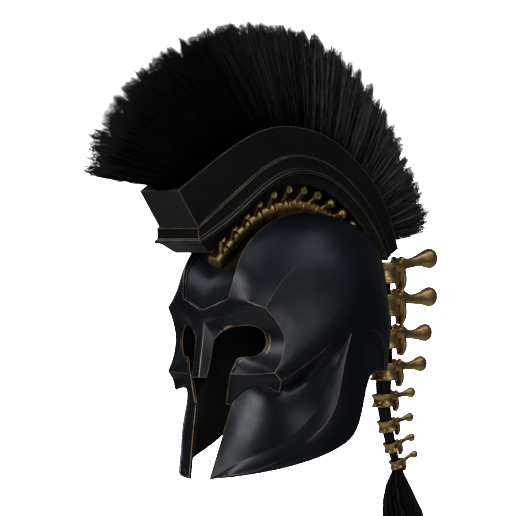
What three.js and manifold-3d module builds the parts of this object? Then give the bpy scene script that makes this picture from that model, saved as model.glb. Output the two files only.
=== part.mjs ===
// A closed-cheek Greek helmet with a horsehair crest. A chain of cast vertebrae runs over the crown, between
// the bowl and the crest holder, hangs down behind the neck on a core of hair, and ends in a tassel.
// Millimetres, +Z up. The face looks along -Y and the wearer's left is +X. The group's origin is the seat of
// the wearer's head, inside the crown. The tables below are measured up from the chin tips.
import * as THREE from "three";
import { mergeVertices } from "three/addons/utils/BufferGeometryUtils.js";
import Module from "manifold-3d";

const wasm = await Module();
wasm.setup();

// ---------------------------------------------------------------- driving dimensions
const SEAT_HEIGHT = 291;             // head seat above the chin tips
const WALL = 3.4;                    // bronze wall of the bowl
const NOSE_HALF_WIDTH = 5.2;         // flat front of the nose guard
const GAP = 0.4;                     // free space between neighbouring pieces
const EYE_LIP = { width: 2.8, depth: 2.2, easeTop: 3, easeFoot: 5, facing: [0.5, -0.87, 0] };
const SWELL_FROM = 12;               // a ruled surface swells fully only where it is at least this wide
const DOME = { least: 2, most: 6.5, run: 1.35, valley: 5, valleyAt: 0.16, valleyReach: 0.14 };
const SIDE = { most: 9, fullness: 0.8, atFront: 0.25, rise: 1.6, fall: 4 };
const SCOOP = { swell: 3.5, run: 1.4, hollow: 13, hollowAt: 0.8, hollowReach: 0.22, fall: 6 };
const BEVEL_SWELL = 0.8;
const FLANGE = { swell: 1.5, flare: 5, from: 0.55, to: 0.8 };
const CHANNEL = {
  depth: 3, extra: 5, deepestAt: 262, reach: 22, rear: 6, rearFrom: 20, rearTo: 80, draft: 1.2,
};
const CREST_HALF_WIDTH = { front: 31.4, rear: 22 };
const CREST_WALL = 2.6;
const TROUGH_DEPTH = 24;             // hair sits this deep in the crest holder
const CREST_MOULDING_SPAN = 70;      // crest depth at which the mouldings have their full size
const CREST_STEPS = 15;
const KEEL_HALF_WIDTH = 1.6;         // thin wall under the holder, on the tops of the crown vertebrae
const CROWN_BODY = {
  radius: 8.6, waist: 0.94, gap: 2.2, lean: 0.35, knobOut: 16, stem: 2.6, root: 3.2, reach: 40,
};
const CROWN_KNOB = { front: 3.6, rear: 5.2 };
const HAIR = {
  locks: 20, steps: 14, half: 0.45, core: 0.92, lockRadius: 10, lockAcross: 9, halfWidth: 20, sunk: 5,
};
const HAIR_BELLY = 1.1;              // width of the plume half way up, as a share of its foot
const HAIR_CROWN = 0.7;              // and near its tips
const HAIR_FROM = 0.03;              // hair and its locks start this share of the rim from its ends
const LOCK_FROM = 0.05;
const LOCK_TIP = 0.8;
const TASSEL = { locks: 5, lockRadius: 9, body: 0.92, above: 22, below: 12, ragged: 10 };
const TAIL_PLAY = 5 * GAP;           // the hair core is this much thinner than the bores it runs through

const SPACING_STEPS = 400;           // steps in which the length of a curve is measured
const FOOT_STEPS = 160;              // steps in which the foot of the crest holder is searched
const POINTS_PER_MM = 200;           // skin points nearer than this are one point

// ---------------------------------------------------------------- curves
const point = (x, y, z) => new THREE.Vector3(x, y, z);

function curveThrough(rows) {
  const curve = new THREE.CatmullRomCurve3(rows.map((row) => point(...row)), false, "centripetal");
  curve.arcLengthDivisions = SPACING_STEPS;
  return curve;
}

// A smooth line through rows of [across, along, up], as evenly spaced points.
function line(rows, steps) {
  const points = curveThrough(rows).getSpacedPoints(steps);
  points[0] = point(...rows[0]);
  points[steps] = point(...rows[rows.length - 1]);
  return points;
}

// Several lines end to end, each starting where the one before stops.
const chain = (...lines) => lines.flatMap((points, i) => (i === 0 ? points : points.slice(1)));
const reversed = (points) => points.slice().reverse();

// Corners of the left half of the bowl, as [across, along, up].
const CORNER = {
  noseTop: [0, -131, 174],
  noseTopEdge: [NOSE_HALF_WIDTH, -129, 174],
  noseTip: [0, -139, 113.5],
  noseTipEdge: [NOSE_HALF_WIDTH + 0.4, -138.5, 113.5],
  noseSide: [15, -123.7, 156],
  noseFoot: [12, -132.5, 113.5],
  peak: [0, -129, 188],
  peakEnd: [36.4, -122.5, 201.5],
  brow: [79, -106.5, 191],
  temple: [88.8, -84.3, 157],
  cheekbone: [86.6, -99.2, 119],
  cheekStep: [88, -90.3, 110],
  cheekInset: [84, -89.9, 97],
  cheekFront: [32, -116.1, 117],
  cheekTip: [25.5, -115.6, 84],
  scoopFront: [29, -110.5, 82.5],
  chin: [16.5, -133, 0],
  scoopTop: [104.5, 3, 163],
  flangeTurn: [99, 31, 95],
  domeRear: [60, 92, 248],
  archFoot: [77, 83, 119],
  napeRidge: [42, 119, 119],
  napeLip: [27, 125, 119],
  eyeTop: [51.5, -103, 171.8],
  eyeCorner: [68.2, -93.8, 151],
  eyeFloor: [55, -102.6, 136.4],
};

// Feature lines of the left half of the bowl. Each row is [across, along, up].
const LINE = {
  nose: line([CORNER.noseTop, CORNER.noseTip], 4),
  noseEdge: line([CORNER.noseTopEdge, CORNER.noseTipEdge], 4),
  noseTurn: line([CORNER.noseTopEdge, CORNER.noseSide], 3),
  noseBack: line([CORNER.noseSide, [13, -128.3, 129.6], CORNER.noseFoot], 4),
  noseToPeak: line([CORNER.noseTop, CORNER.peak], 4),
  peakEdge: line([CORNER.peak, CORNER.peakEnd], 4),
  channelLip: line([
    CORNER.peakEnd, [39.5, -120.3, 216], [42, -116.5, 234], [41, -107, 252], [40, -89.4, 269],
    [40, -49, 292], [40, -2, 298.5], [40, 41.5, 293], [39, 75.5, 280], [37, 107, 258],
    [33, 126.5, 213], [30, 130, 165], CORNER.napeLip,
  ], 24),
  channelMiddle: [
    [0, -122.8, 212], [0, -115, 226.5], [0, -97, 238], [0, -79, 254], [0, -46, 278.5], [0, -20, 290.5],
    [0, 10, 296], [0, 40, 292], [0, 68, 280], [0, 92, 262], [0, 111, 236], [0, 121, 200], [0, 124, 160],
    [0, 122, 119],
  ],
  browLine: line([CORNER.noseTopEdge, [19, -124.8, 178.9], [43, -116, 185.6], CORNER.brow], 3),
  browRise: line([CORNER.peakEnd, [58.5, -117, 198.5], CORNER.brow], 4),
  templeRidge: line([
    CORNER.brow, [78.5, -82.8, 218.5], [79.5, -63, 235.4], [82, -36, 250], [82, -6, 259.5],
    [78, 31.6, 263], [70, 66, 259.5], CORNER.domeRear,
  ], 16),
  rearRidge: line([CORNER.domeRear, [52, 111, 213], [46, 121, 165], CORNER.napeRidge], 8),
  eyeRimUpper: line([CORNER.brow, [84.5, -93.5, 175.5], CORNER.temple], 5),
  eyeRimLower: line([CORNER.temple, [88.8, -87.5, 136], CORNER.cheekbone], 2),
  cheekboneCorner: line([CORNER.cheekbone, CORNER.cheekStep], 1),
  cheekboneDrop: line([CORNER.cheekStep, CORNER.cheekInset], 2),
  cheekboneEdge: line([CORNER.cheekbone, [60, -104.5, 117.4], CORNER.cheekFront], 10),
  cheekFrontEdge: line([CORNER.cheekFront, CORNER.cheekTip], 2),
  cheekNotch: line([CORNER.cheekTip, CORNER.scoopFront], 1),
  arch: line([
    CORNER.scoopFront, [34, -105.9, 91], [42, -100.6, 99.4], [53, -97.4, 103.2], [69, -92.8, 102],
    CORNER.cheekInset,
  ], 10),
  scoopUpper: line([
    CORNER.cheekStep, [94, -64.4, 124.7], [99, -42.3, 139], [102, -21.8, 153.6], CORNER.scoopTop,
  ], 6),
  scoopLower: line([
    CORNER.chin, [34, -123.5, 11.5], [50, -113.4, 21.5], [70, -95.3, 32], [85, -71.8, 47.4],
    [92.5, -50.6, 66.5], [96.5, -35.5, 87], [99, -25.6, 110], [102, -10.2, 141.6], CORNER.scoopTop,
  ], 12),
  bevelEdge: line([
    CORNER.chin, [41, -123.7, 5.6], [56, -110, 9.4], [71, -96, 15], [84, -80, 26], [94.5, -61.7, 39.5],
    [101.5, -48, 52], [104, -31, 65.2], [105, -19.5, 85], [105.2, -10, 125], CORNER.scoopTop,
  ], 12),
  frontRim: line([CORNER.scoopFront, CORNER.chin], 6),
  bottomRim: line([
    CORNER.chin, [36, -125, 1.6], [57, -111, 5], [82, -78.4, 12.6], [92, -59.9, 18.5], [100, -38.9, 25],
    [105.5, -6.3, 39.2], [106, 4, 45], [105.3, 12, 54], [102.5, 21.5, 72], CORNER.flangeTurn,
  ], 12),
  neckArch: line([
    CORNER.scoopTop, [102, 29, 167], [94.5, 56.5, 162.3], [88, 70, 154], [82, 78, 139], CORNER.archFoot,
  ], 7),
  flangeRear: line([CORNER.flangeTurn, [96.5, 38.5, 110], [93, 48, 117.5], [87, 64, 119], CORNER.archFoot], 7),
  napeSide: line([CORNER.archFoot, [61, 104, 119], CORNER.napeRidge], 3),
  eyeTop: line([CORNER.noseSide, [21, -120.7, 164.4], [34, -113, 170.4], CORNER.eyeTop], 3),
  eyeOuter: line([CORNER.eyeTop, [64.5, -95.4, 165.6], CORNER.eyeCorner], 5),
  eyeLower: line([CORNER.eyeCorner, [65, -96, 141.6], CORNER.eyeFloor], 2),
  eyeFront: line([CORNER.eyeFloor, [40, -111.6, 135.3], [37.3, -112.6, 131], CORNER.cheekFront], 10),
};

// ---------------------------------------------------------------- bronze bowl
// Direction away from the middle of the head, level below the eyes.
const HEAD_MIDDLE = point(0, 0, 150);
function outward(p) {
  const away = p.clone().sub(HEAD_MIDDLE);
  away.z = Math.max(away.z, 0);
  return away.normalize();
}

// The bowl's outer skin: faces over shared points, laid for the left half and mirrored.
class Skin {
  constructor() {
    this.points = [];
    this.index = new Map();
    this.faces = [];
  }

  id(p) {
    const key = [p.x, p.y, p.z].map((n) => Math.round(n * POINTS_PER_MM)).join();
    if (!this.index.has(key)) {
      this.index.set(key, this.points.length);
      this.points.push(p.clone());
    }
    return this.index.get(key);
  }

  addFace(corners) {
    const ids = corners.map((p) => this.id(p));
    const ring = ids.filter((id, i) => id !== ids[(i + 1) % ids.length]);
    if (ring.length > 2) this.faces.push(ring);
  }

  // A grid of points as faces, and its mirror image.
  patch(grid) {
    for (let i = 0; i + 1 < grid.length; i++) {
      for (let j = 0; j + 1 < grid[i].length; j++) {
        const cell = [grid[i][j], grid[i + 1][j], grid[i + 1][j + 1], grid[i][j + 1]];
        this.addFace(cell);
        this.addFace(cell.map((p) => point(-p.x, p.y, p.z)));
      }
    }
  }

  // Turns every face to agree with its neighbours, and all of them to look outward.
  orient() {
    const edgeKey = (a, b) => (a < b ? `${a},${b}` : `${b},${a}`);
    const users = new Map();
    this.faces.forEach((face, f) => face.forEach((a, i) => {
      const key = edgeKey(a, face[(i + 1) % face.length]);
      users.set(key, [...(users.get(key) ?? []), f]);
    }));
    const runs = (face, a, b) => face.some((id, i) => id === a && face[(i + 1) % face.length] === b);
    const seen = new Set([0]);
    const queue = [0];
    while (queue.length > 0) {
      const face = this.faces[queue.pop()];
      face.forEach((a, i) => {
        const b = face[(i + 1) % face.length];
        for (const other of users.get(edgeKey(a, b))) {
          if (seen.has(other)) continue;
          if (runs(this.faces[other], a, b)) this.faces[other].reverse();
          seen.add(other);
          queue.push(other);
        }
      });
    }
    const facing = this.faces.reduce((sum, [a, b, c]) => {
      const [p, q, r] = [this.points[a], this.points[b], this.points[c]];
      return sum + q.clone().sub(p).cross(r.clone().sub(p)).dot(outward(p));
    }, 0);
    if (facing < 0) this.faces.forEach((face) => face.reverse());
  }
}

// Share of a line's length reached at each of its points.
function shares(points) {
  const run = [0];
  for (let i = 1; i < points.length; i++) run.push(run[i - 1] + points[i].distanceTo(points[i - 1]));
  return run.map((length) => length / run[run.length - 1]);
}

// Surface between four lines: near and far run the same way, and left and right lead from near to far.
function fill(near, far, left, right, swell = () => 0) {
  const [n, f, l, r] = [near, far, left, right].map(shares);
  const last = near.length - 1;
  const end = left.length - 1;
  return near.map((_, i) => left.map((__, j) => {
    if (i === 0) return left[j];
    if (i === last) return right[j];
    if (j === 0) return near[i];
    if (j === end) return far[i];
    const v = THREE.MathUtils.lerp(l[j], r[j], i / last);
    const u = THREE.MathUtils.lerp(n[i], f[i], j / end);
    const mix = point(0, 0, 0)
      .addScaledVector(near[i], 1 - v).addScaledVector(far[i], v)
      .addScaledVector(left[j], 1 - u).addScaledVector(right[j], u)
      .addScaledVector(near[0], -(1 - u) * (1 - v)).addScaledVector(near[last], -u * (1 - v))
      .addScaledVector(far[0], -(1 - u) * v).addScaledVector(far[last], -u * v);
    return mix.addScaledVector(outward(mix), swell(u, v));
  }));
}

// Surface ruled from one line to another, with its first row given where a neighbour shares it.
function span(from, to, rows, swell = () => 0, firstRow = null) {
  return from.map((p, i) => {
    if (i === 0 && firstRow) return firstRow;
    const easing = Math.min(1, p.distanceTo(to[i]) / SWELL_FROM);
    return Array.from({ length: rows + 1 }, (_, j) => {
      const mix = p.clone().lerp(to[i], j / rows);
      return mix.addScaledVector(outward(mix), easing * swell(i / (from.length - 1), j / rows));
    });
  });
}

const hump = (t) => 4 * t * (1 - t);
const bell = (t, middle, reach) => Math.exp(-(((t - middle) / reach) ** 2));
const capped = (t) => Math.min(1, t);

// The channel over the crown that holds the vertebrae: its floor lies below its two lips.
function layChannel(skin) {
  const lip = chain(LINE.peakEdge, LINE.channelLip);
  const depthAt = (p) => {
    const rear = CHANNEL.rear * THREE.MathUtils.smoothstep(p.y, CHANNEL.rearFrom, CHANNEL.rearTo);
    return CHANNEL.depth + (p.y < 0 ? CHANNEL.extra * bell(p.z, CHANNEL.deepestAt, CHANNEL.reach) : rear);
  };
  const floorEdge = lip.map((p) => {
    const sunk = p.clone().addScaledVector(outward(p), -depthAt(p));
    return point(Math.max(0, p.x - CHANNEL.draft), sunk.y, sunk.z);
  });
  skin.patch(span(floorEdge, lip, 1));
  const turn = LINE.peakEdge.length - 1;
  const side = floorEdge.slice(turn);
  const middle = line([floorEdge[0].toArray(), ...LINE.channelMiddle], side.length - 1);
  const nape = line([middle[middle.length - 1].toArray(), side[side.length - 1].toArray()], turn);
  skin.patch(fill(middle, side, floorEdge.slice(0, turn + 1), nape));
}

// Brow strip, upper dome and the sides of the bowl.
function layDome(skin) {
  const browFoot = chain([LINE.nose[0], LINE.noseEdge[0]], LINE.browLine);
  skin.patch(fill(browFoot, LINE.peakEdge, LINE.noseToPeak, reversed(LINE.browRise)));
  const dome = chain(LINE.templeRidge, LINE.rearRidge);
  const rise = (u, v) => {
    const swell = DOME.least + DOME.most * Math.sin(Math.PI * capped(DOME.run * u));
    return hump(v) * (swell - DOME.valley * v * bell(u, DOME.valleyAt, DOME.valleyReach));
  };
  skin.patch(span(LINE.channelLip, dome, 4, rise, LINE.browRise));
  const front = chain(LINE.eyeRimUpper, LINE.eyeRimLower, LINE.cheekboneCorner);
  const foot = chain(LINE.scoopUpper, LINE.neckArch, LINE.napeSide);
  const bulge = (u, v) => {
    const ends = capped(SIDE.atFront + SIDE.rise * u) * capped(SIDE.fall * (1 - u));
    return SIDE.most * hump(v) ** SIDE.fullness * ends;
  };
  skin.patch(fill(LINE.templeRidge, foot, front, LINE.rearRidge, bulge));
}

// Nose guard, the funnel round the eye and the eye's rolled lip.
function layEye(skin) {
  skin.patch(span(LINE.nose, LINE.noseEdge, 1));
  skin.patch(span(LINE.noseEdge, LINE.noseBack, 3, undefined, LINE.noseTurn));
  const rim = chain(LINE.browLine, LINE.eyeRimUpper, LINE.eyeRimLower, LINE.cheekboneEdge);
  const lip = chain(LINE.eyeTop, LINE.eyeOuter, LINE.eyeLower, LINE.eyeFront);
  skin.patch(span(rim, lip, 3, undefined, LINE.noseTurn));
  const last = lip.length - 1;
  const opening = lip.map((p, i) => {
    if (i === 0 || i === last) return p;
    const run = lip[i + 1].clone().sub(lip[i - 1]);
    const inward = point(...EYE_LIP.facing).cross(run).normalize();
    const share = Math.min(1, i / EYE_LIP.easeTop, (last - i) / EYE_LIP.easeFoot);
    return p.clone().addScaledVector(inward, EYE_LIP.width * share).add(point(0, EYE_LIP.depth * share, 0));
  });
  skin.patch(span(lip, opening, 1));
}

// Cheekbone, the hollow of the cheek, its bright bevel and the flange that guards the neck.
function layCheek(skin) {
  const drop = chain(LINE.cheekboneCorner, LINE.cheekboneDrop);
  const edge = chain(LINE.cheekFrontEdge, LINE.cheekNotch);
  skin.patch(fill(LINE.cheekboneEdge, reversed(LINE.arch), drop, edge));
  const scoopTop = chain(LINE.arch, reversed(LINE.cheekboneDrop));
  const hollow = (u, v) => {
    const depth = SCOOP.hollow * bell(u, SCOOP.hollowAt, SCOOP.hollowReach) * capped(SCOOP.fall * (1 - u));
    return hump(v) * (SCOOP.swell * hump(capped(SCOOP.run * u)) - depth);
  };
  skin.patch(fill(scoopTop, LINE.scoopLower, LINE.frontRim, LINE.scoopUpper, hollow));
  skin.patch(span(LINE.scoopLower, LINE.bevelEdge, 2, (_, v) => BEVEL_SWELL * hump(v)));
  const flangeTop = chain(LINE.bevelEdge, LINE.neckArch);
  const flangeFoot = chain(LINE.bottomRim, LINE.flangeRear);
  const flare = (u, v) => {
    return hump(v) * (FLANGE.swell - FLANGE.flare * THREE.MathUtils.smoothstep(u, FLANGE.from, FLANGE.to));
  };
  skin.patch(span(flangeTop, flangeFoot, 4, flare));
}

// A skin thickened inward to a wall, closed along its open edges.
function thicken(skin, wall) {
  const normals = skin.points.map(() => point(0, 0, 0));
  for (const face of skin.faces) {
    face.forEach((id, i) => {
      const before = skin.points[face[(i + face.length - 1) % face.length]].clone().sub(skin.points[id]);
      const after = skin.points[face[(i + 1) % face.length]].clone().sub(skin.points[id]);
      const angle = after.angleTo(before);
      normals[id].addScaledVector(after.cross(before).normalize(), angle);
    });
  }
  const count = skin.points.length;
  const inner = skin.points.map((p, i) => p.clone().addScaledVector(normals[i].normalize(), -wall));
  const edgesOf = (face) => face.map((id, i) => `${id},${face[(i + 1) % face.length]}`);
  const edges = new Set(skin.faces.flatMap(edgesOf));
  const faces = skin.faces.flatMap((face) => [face, reversed(face).map((id) => id + count)]);
  for (const edge of edges) {
    const [a, b] = edge.split(",").map(Number);
    if (!edges.has(`${b},${a}`)) faces.push([b, a, a + count, b + count]);
  }
  return meshOf([...skin.points, ...inner], faces);
}

function buildBowl() {
  const skin = new Skin();
  layChannel(skin);
  layDome(skin);
  layEye(skin);
  layCheek(skin);
  skin.orient();
  return thicken(skin, WALL);
}

// ---------------------------------------------------------------- shared solids
// Faces of three or more corners as a three.js geometry; quads are split along their shorter diagonal.
function meshOf(points, faces) {
  const index = [];
  for (const face of faces) {
    const [a, b, c, d] = face;
    if (face.length === 4 && points[b].distanceTo(points[d]) < points[a].distanceTo(points[c])) {
      index.push(a, b, d, b, c, d);
    } else {
      for (let i = 1; i + 1 < face.length; i++) index.push(a, face[i], face[i + 1]);
    }
  }
  const geometry = new THREE.BufferGeometry();
  geometry.setAttribute("position", new THREE.Float32BufferAttribute(points.flatMap((p) => p.toArray()), 3));
  geometry.setIndex(index);
  return geometry;
}

// Rings of equally many points joined one after another, closed by flat ends or into a hoop.
function loft(rings, hoop = false) {
  const size = rings[0].length;
  const faces = [];
  const bands = hoop ? rings.length : rings.length - 1;
  for (let i = 0; i < bands; i++) {
    const next = (i + 1) % rings.length;
    for (let j = 0; j < size; j++) {
      const turn = (j + 1) % size;
      faces.push([i * size + j, i * size + turn, next * size + turn, next * size + j]);
    }
  }
  if (!hoop) {
    const last = (rings.length - 1) * size;
    faces.push(Array.from({ length: size }, (_, j) => size - 1 - j));
    faces.push(Array.from({ length: size }, (_, j) => last + j));
  }
  return meshOf(rings.flat(), faces);
}

// A round limb along a path: rows of [across, along, up, radius], with a flattening factor across.
function limb(rows, sides = 8, flat = 1) {
  const rings = rows.map(([x, y, z, radius], i) => {
    const a = rows[Math.max(0, i - 1)];
    const b = rows[Math.min(rows.length - 1, i + 1)];
    const way = point(b[0] - a[0], b[1] - a[1], b[2] - a[2]).normalize();
    const side = Math.abs(way.x) > 0.9 ? point(0, 1, 0) : point(1, 0, 0);
    const up = way.clone().cross(side).normalize();
    const across = up.clone().cross(way).normalize();
    return Array.from({ length: sides }, (_, j) => {
      const turn = (2 * Math.PI * j) / sides;
      return point(x, y, z)
        .addScaledVector(across, flat * radius * Math.cos(turn))
        .addScaledVector(up, radius * Math.sin(turn));
    });
  });
  return loft(rings);
}

// Fused solids, with the faces of the result pointing out.
function solid(geometry) {
  const merged = mergeVertices(geometry, 1e-4);
  const mesh = new wasm.Mesh({
    numProp: 3,
    vertProperties: new Float32Array(merged.attributes.position.array),
    triVerts: new Uint32Array(merged.index.array),
  });
  const body = new wasm.Manifold(mesh);
  if (body.volume() > 0) return body;
  mesh.triVerts = mesh.triVerts.map((_, i, all) => all[3 * Math.floor(i / 3) + [0, 2, 1][i % 3]]);
  return new wasm.Manifold(mesh);
}

function fuse(geometries) {
  return wasm.Manifold.union(geometries.map(solid));
}

function geometryOf(body) {
  const mesh = body.getMesh();
  const geometry = new THREE.BufferGeometry();
  geometry.setAttribute("position", new THREE.Float32BufferAttribute(mesh.vertProperties, 3));
  geometry.setIndex(Array.from(mesh.triVerts));
  return geometry;
}

// ---------------------------------------------------------------- crest holder
// Side view of the crest holder, front to rear: its open rim above and its foot below.
const CREST = [
  { rimY: -194, rimZ: 321, footY: -143, footZ: 252 },
  { rimY: -117, rimZ: 367, footY: -93, footZ: 287 },
  { rimY: -60, rimZ: 391, footY: -52, footZ: 315 },
  { rimY: -9, rimZ: 394.5, footY: -11, footZ: 330 },
  { rimY: 45, rimZ: 383, footY: 33, footZ: 326 },
  { rimY: 84, rimZ: 360, footY: 66, footZ: 311 },
  { rimY: 117, rimZ: 334, footY: 94, footZ: 290 },
  { rimY: 142, rimZ: 300, footY: 117, footZ: 266 },
  { rimY: 160, rimZ: 257, footY: 135, footZ: 243 },
];

// Mouldings from the foot up: height above the foot, and how far each stands out at the sides and the front.
const MOULDING = [
  { up: 0, side: -4.5, front: 0 },
  { up: 3, side: -2.5, front: 2.5 },
  { up: 12, side: 0.5, front: 10 },
  { up: 13.5, side: 5.9, front: 15.5 },
  { up: 17, side: 5.9, front: 13.5 },
  { up: 19.5, side: 3, front: 10.5 },
  { up: 21.5, side: 2.2, front: 9.5 },
  { up: 34.5, side: 2.2, front: 2.2 },
  { up: 36, side: 0, front: 0 },
];

const crestRim = curveThrough(CREST.map((row) => [0, row.rimY, row.rimZ]));
const crestFoot = curveThrough(CREST.map((row) => [0, row.footY, row.footZ]));
const crestHalfWidth = (t) => THREE.MathUtils.lerp(CREST_HALF_WIDTH.front, CREST_HALF_WIDTH.rear, t);

// One level of the holder: a closed line along its left side, round the rear and back along its right side.
function crestLevel(heightAt, sideOut, frontOut, inset = 0) {
  const left = [];
  for (let i = 0; i <= CREST_STEPS; i++) {
    const t = i / CREST_STEPS;
    const foot = crestFoot.getPoint(t);
    const rim = crestRim.getPoint(t);
    const depth = foot.distanceTo(rim);
    const size = Math.min(1, depth / CREST_MOULDING_SPAN);
    const place = foot.lerp(rim, heightAt(depth, size) / depth);
    const along = crestRim.getTangent(t);
    if (i === 0) place.add(point(0, -frontOut, 0)).addScaledVector(along, inset);
    if (i === CREST_STEPS) place.addScaledVector(along, sideOut * size - inset);
    left.push(point(crestHalfWidth(t) + sideOut * size - inset, place.y, place.z));
  }
  return [...left, ...reversed(left).map((p) => point(-p.x, p.y, p.z))];
}

// Vertebrae over the crown, front to rear: body centres.
const CROWN = [
  { y: -102, z: 248 }, { y: -86, z: 263.5 }, { y: -69.5, z: 277.5 }, { y: -51.5, z: 289 }, { y: -32, z: 297.5 },
  { y: -11.5, z: 303 }, { y: 10, z: 305.3 }, { y: 31, z: 304.3 }, { y: 51, z: 299.8 }, { y: 69.5, z: 291.3 },
  { y: 86, z: 279.5 }, { y: 100.5, z: 265.5 }, { y: 113, z: 249.5 }, { y: 122.5, z: 232.5 },
];

// Centre of a crown vertebra, the way the chain runs there, and the way out of the head.
function crownPlace(i) {
  const at = (k) => CROWN[THREE.MathUtils.clamp(k, 0, CROWN.length - 1)];
  const way = point(0, at(i + 1).y - at(i - 1).y, at(i + 1).z - at(i - 1).z).normalize();
  return { centre: point(0, at(i).y, at(i).z), way, normal: point(0, -way.z, way.y) };
}

// Distance from a place in the middle plane to the foot of the crest holder, along a direction in that plane.
function reachToCrest(from, way) {
  const foot = crestFoot.getPoints(FOOT_STEPS);
  for (let i = 0; i + 1 < foot.length; i++) {
    const run = foot[i + 1].clone().sub(foot[i]);
    const gap = foot[i].clone().sub(from);
    const cross = way.y * run.z - way.z * run.y;
    const reach = (gap.y * run.z - gap.z * run.y) / cross;
    const share = (gap.y * way.z - gap.z * way.y) / cross;
    if (share >= 0 && share <= 1 && reach > 0) return reach;
  }
  return Infinity;
}

// The keel between the vertebrae's tops and the holder, which it enters a little way.
function buildKeel() {
  const low = CROWN_BODY.radius + 2.3 * GAP;
  const rings = CROWN.flatMap((_, i) => {
    const { centre, normal } = crownPlace(i);
    const high = reachToCrest(centre, normal) + CREST_WALL;
    if (high > CROWN_BODY.reach || high < low + CREST_WALL) return [];
    const [foot, top] = [low, high].map((out) => centre.clone().addScaledVector(normal, out));
    const corners = [[-1, foot], [1, foot], [1, top], [-1, top]];
    return [corners.map(([side, p]) => p.clone().setX(side * KEEL_HALF_WIDTH))];
  });
  return loft(rings);
}

function buildCrestHolder() {
  const outer = MOULDING.map(({ up, side, front }) => crestLevel((_, size) => up * size, side, front));
  const levels = [
    ...outer,
    crestLevel((depth) => depth, 0, 0),
    crestLevel((depth) => depth, 0, 0, CREST_WALL),
    crestLevel((depth, size) => depth - TROUGH_DEPTH * size, 0, 0, CREST_WALL),
  ];
  const size = levels[0].length;
  const faces = [];
  for (let k = 0; k + 1 < levels.length; k++) {
    for (let j = 0; j < size; j++) {
      const turn = (j + 1) % size;
      faces.push([k * size + j, k * size + turn, (k + 1) * size + turn, (k + 1) * size + j]);
    }
  }
  const last = (levels.length - 1) * size;
  for (let j = 0; j < CREST_STEPS; j++) {
    const mirror = size - 1 - j;
    faces.push([j, mirror, mirror - 1, j + 1]);
    faces.push([last + j, last + j + 1, last + mirror - 1, last + mirror]);
  }
  return geometryOf(solid(meshOf(levels.flat(), faces)).add(solid(buildKeel())));
}

// ---------------------------------------------------------------- vertebrae
const SPOOL = { waist: 0.84, waistAt: 0.35, ringSides: 10, sides: 8 };
const CROWN_ROOT = 0.4;              // shares of the radius of a body and of the way out to a knob
const CROWN_WAIST = 0.62;
const CROWN_SHORT = 1.9;

// A waisted body between flared ends, round its own axis; a core radius above zero makes it a ring.
function spool(radius, length, core, narrowing = SPOOL.waist) {
  const half = length / 2;
  const waist = radius * narrowing;
  const waistAt = half * SPOOL.waistAt;
  const profile = [[radius, -half], [waist, -waistAt], [waist, waistAt], [radius, half]];
  const bore = core > 0 ? [[core, half], [core, -half]] : [];
  const sides = core > 0 ? SPOOL.ringSides : SPOOL.sides;
  const rings = [...profile, ...bore].map(([r, z]) => Array.from({ length: sides }, (_, j) => {
    const turn = (2 * Math.PI * j) / sides;
    return point(r * Math.cos(turn), r * Math.sin(turn), z);
  }));
  return loft(rings, core > 0);
}

// Hanging vertebrae, top to bottom: body centre, body size, hair core and the knob that ends the spine.
const BACK = [
  { y: 154, z: 229.5, radius: 21, length: 25, core: 12.5, knobY: 231, knobZ: 245, knob: 10.5 },
  { y: 154, z: 192.5, radius: 21, length: 26, core: 12.5, knobY: 231, knobZ: 201, knob: 10.3 },
  { y: 157, z: 154, radius: 19.6, length: 22.5, core: 12, knobY: 224, knobZ: 160, knob: 9.2 },
  { y: 158.5, z: 116.5, radius: 16.5, length: 20.5, core: 11.5, knobY: 217, knobZ: 124.5, knob: 8.2 },
  { y: 157, z: 84, radius: 13.6, length: 15.2, core: 10, knobY: 202, knobZ: 92, knob: 5.6 },
  { y: 163, z: 55, radius: 11.4, length: 13.6, core: 8.8, knobY: 200, knobZ: 63.5, knob: 4.9 },
  { y: 170.5, z: 31, radius: 9.9, length: 11.4, core: 7.6, knobY: 203, knobZ: 40.5, knob: 4.5 },
  { y: 178.5, z: 11, radius: 8.5, length: 10, core: 6.4, knobY: 208, knobZ: 21, knob: 4.2 },
];

// Where the processes of a hanging vertebra meet, behind its body, in shares of its radius and length.
const ARCH = { out: 1.28, up: 0.42, thick: 0.24, knobShare: 0.08 };
const SPINE = { flat: 0.72, root: 1.2, neckAt: 0.66, neckUp: 0.16, neck: 0.5, back: 0.92, tip: 0.4 };
const LAMINA = { wide: 1.5, root: 1.1, middleAt: 0.3, tipAt: 0.75, tip: 0.5 };
const PEDICLE = { across: 0.5, out: 0.7, up: 0.2, thick: 0.9, meet: 0.12 };

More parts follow.
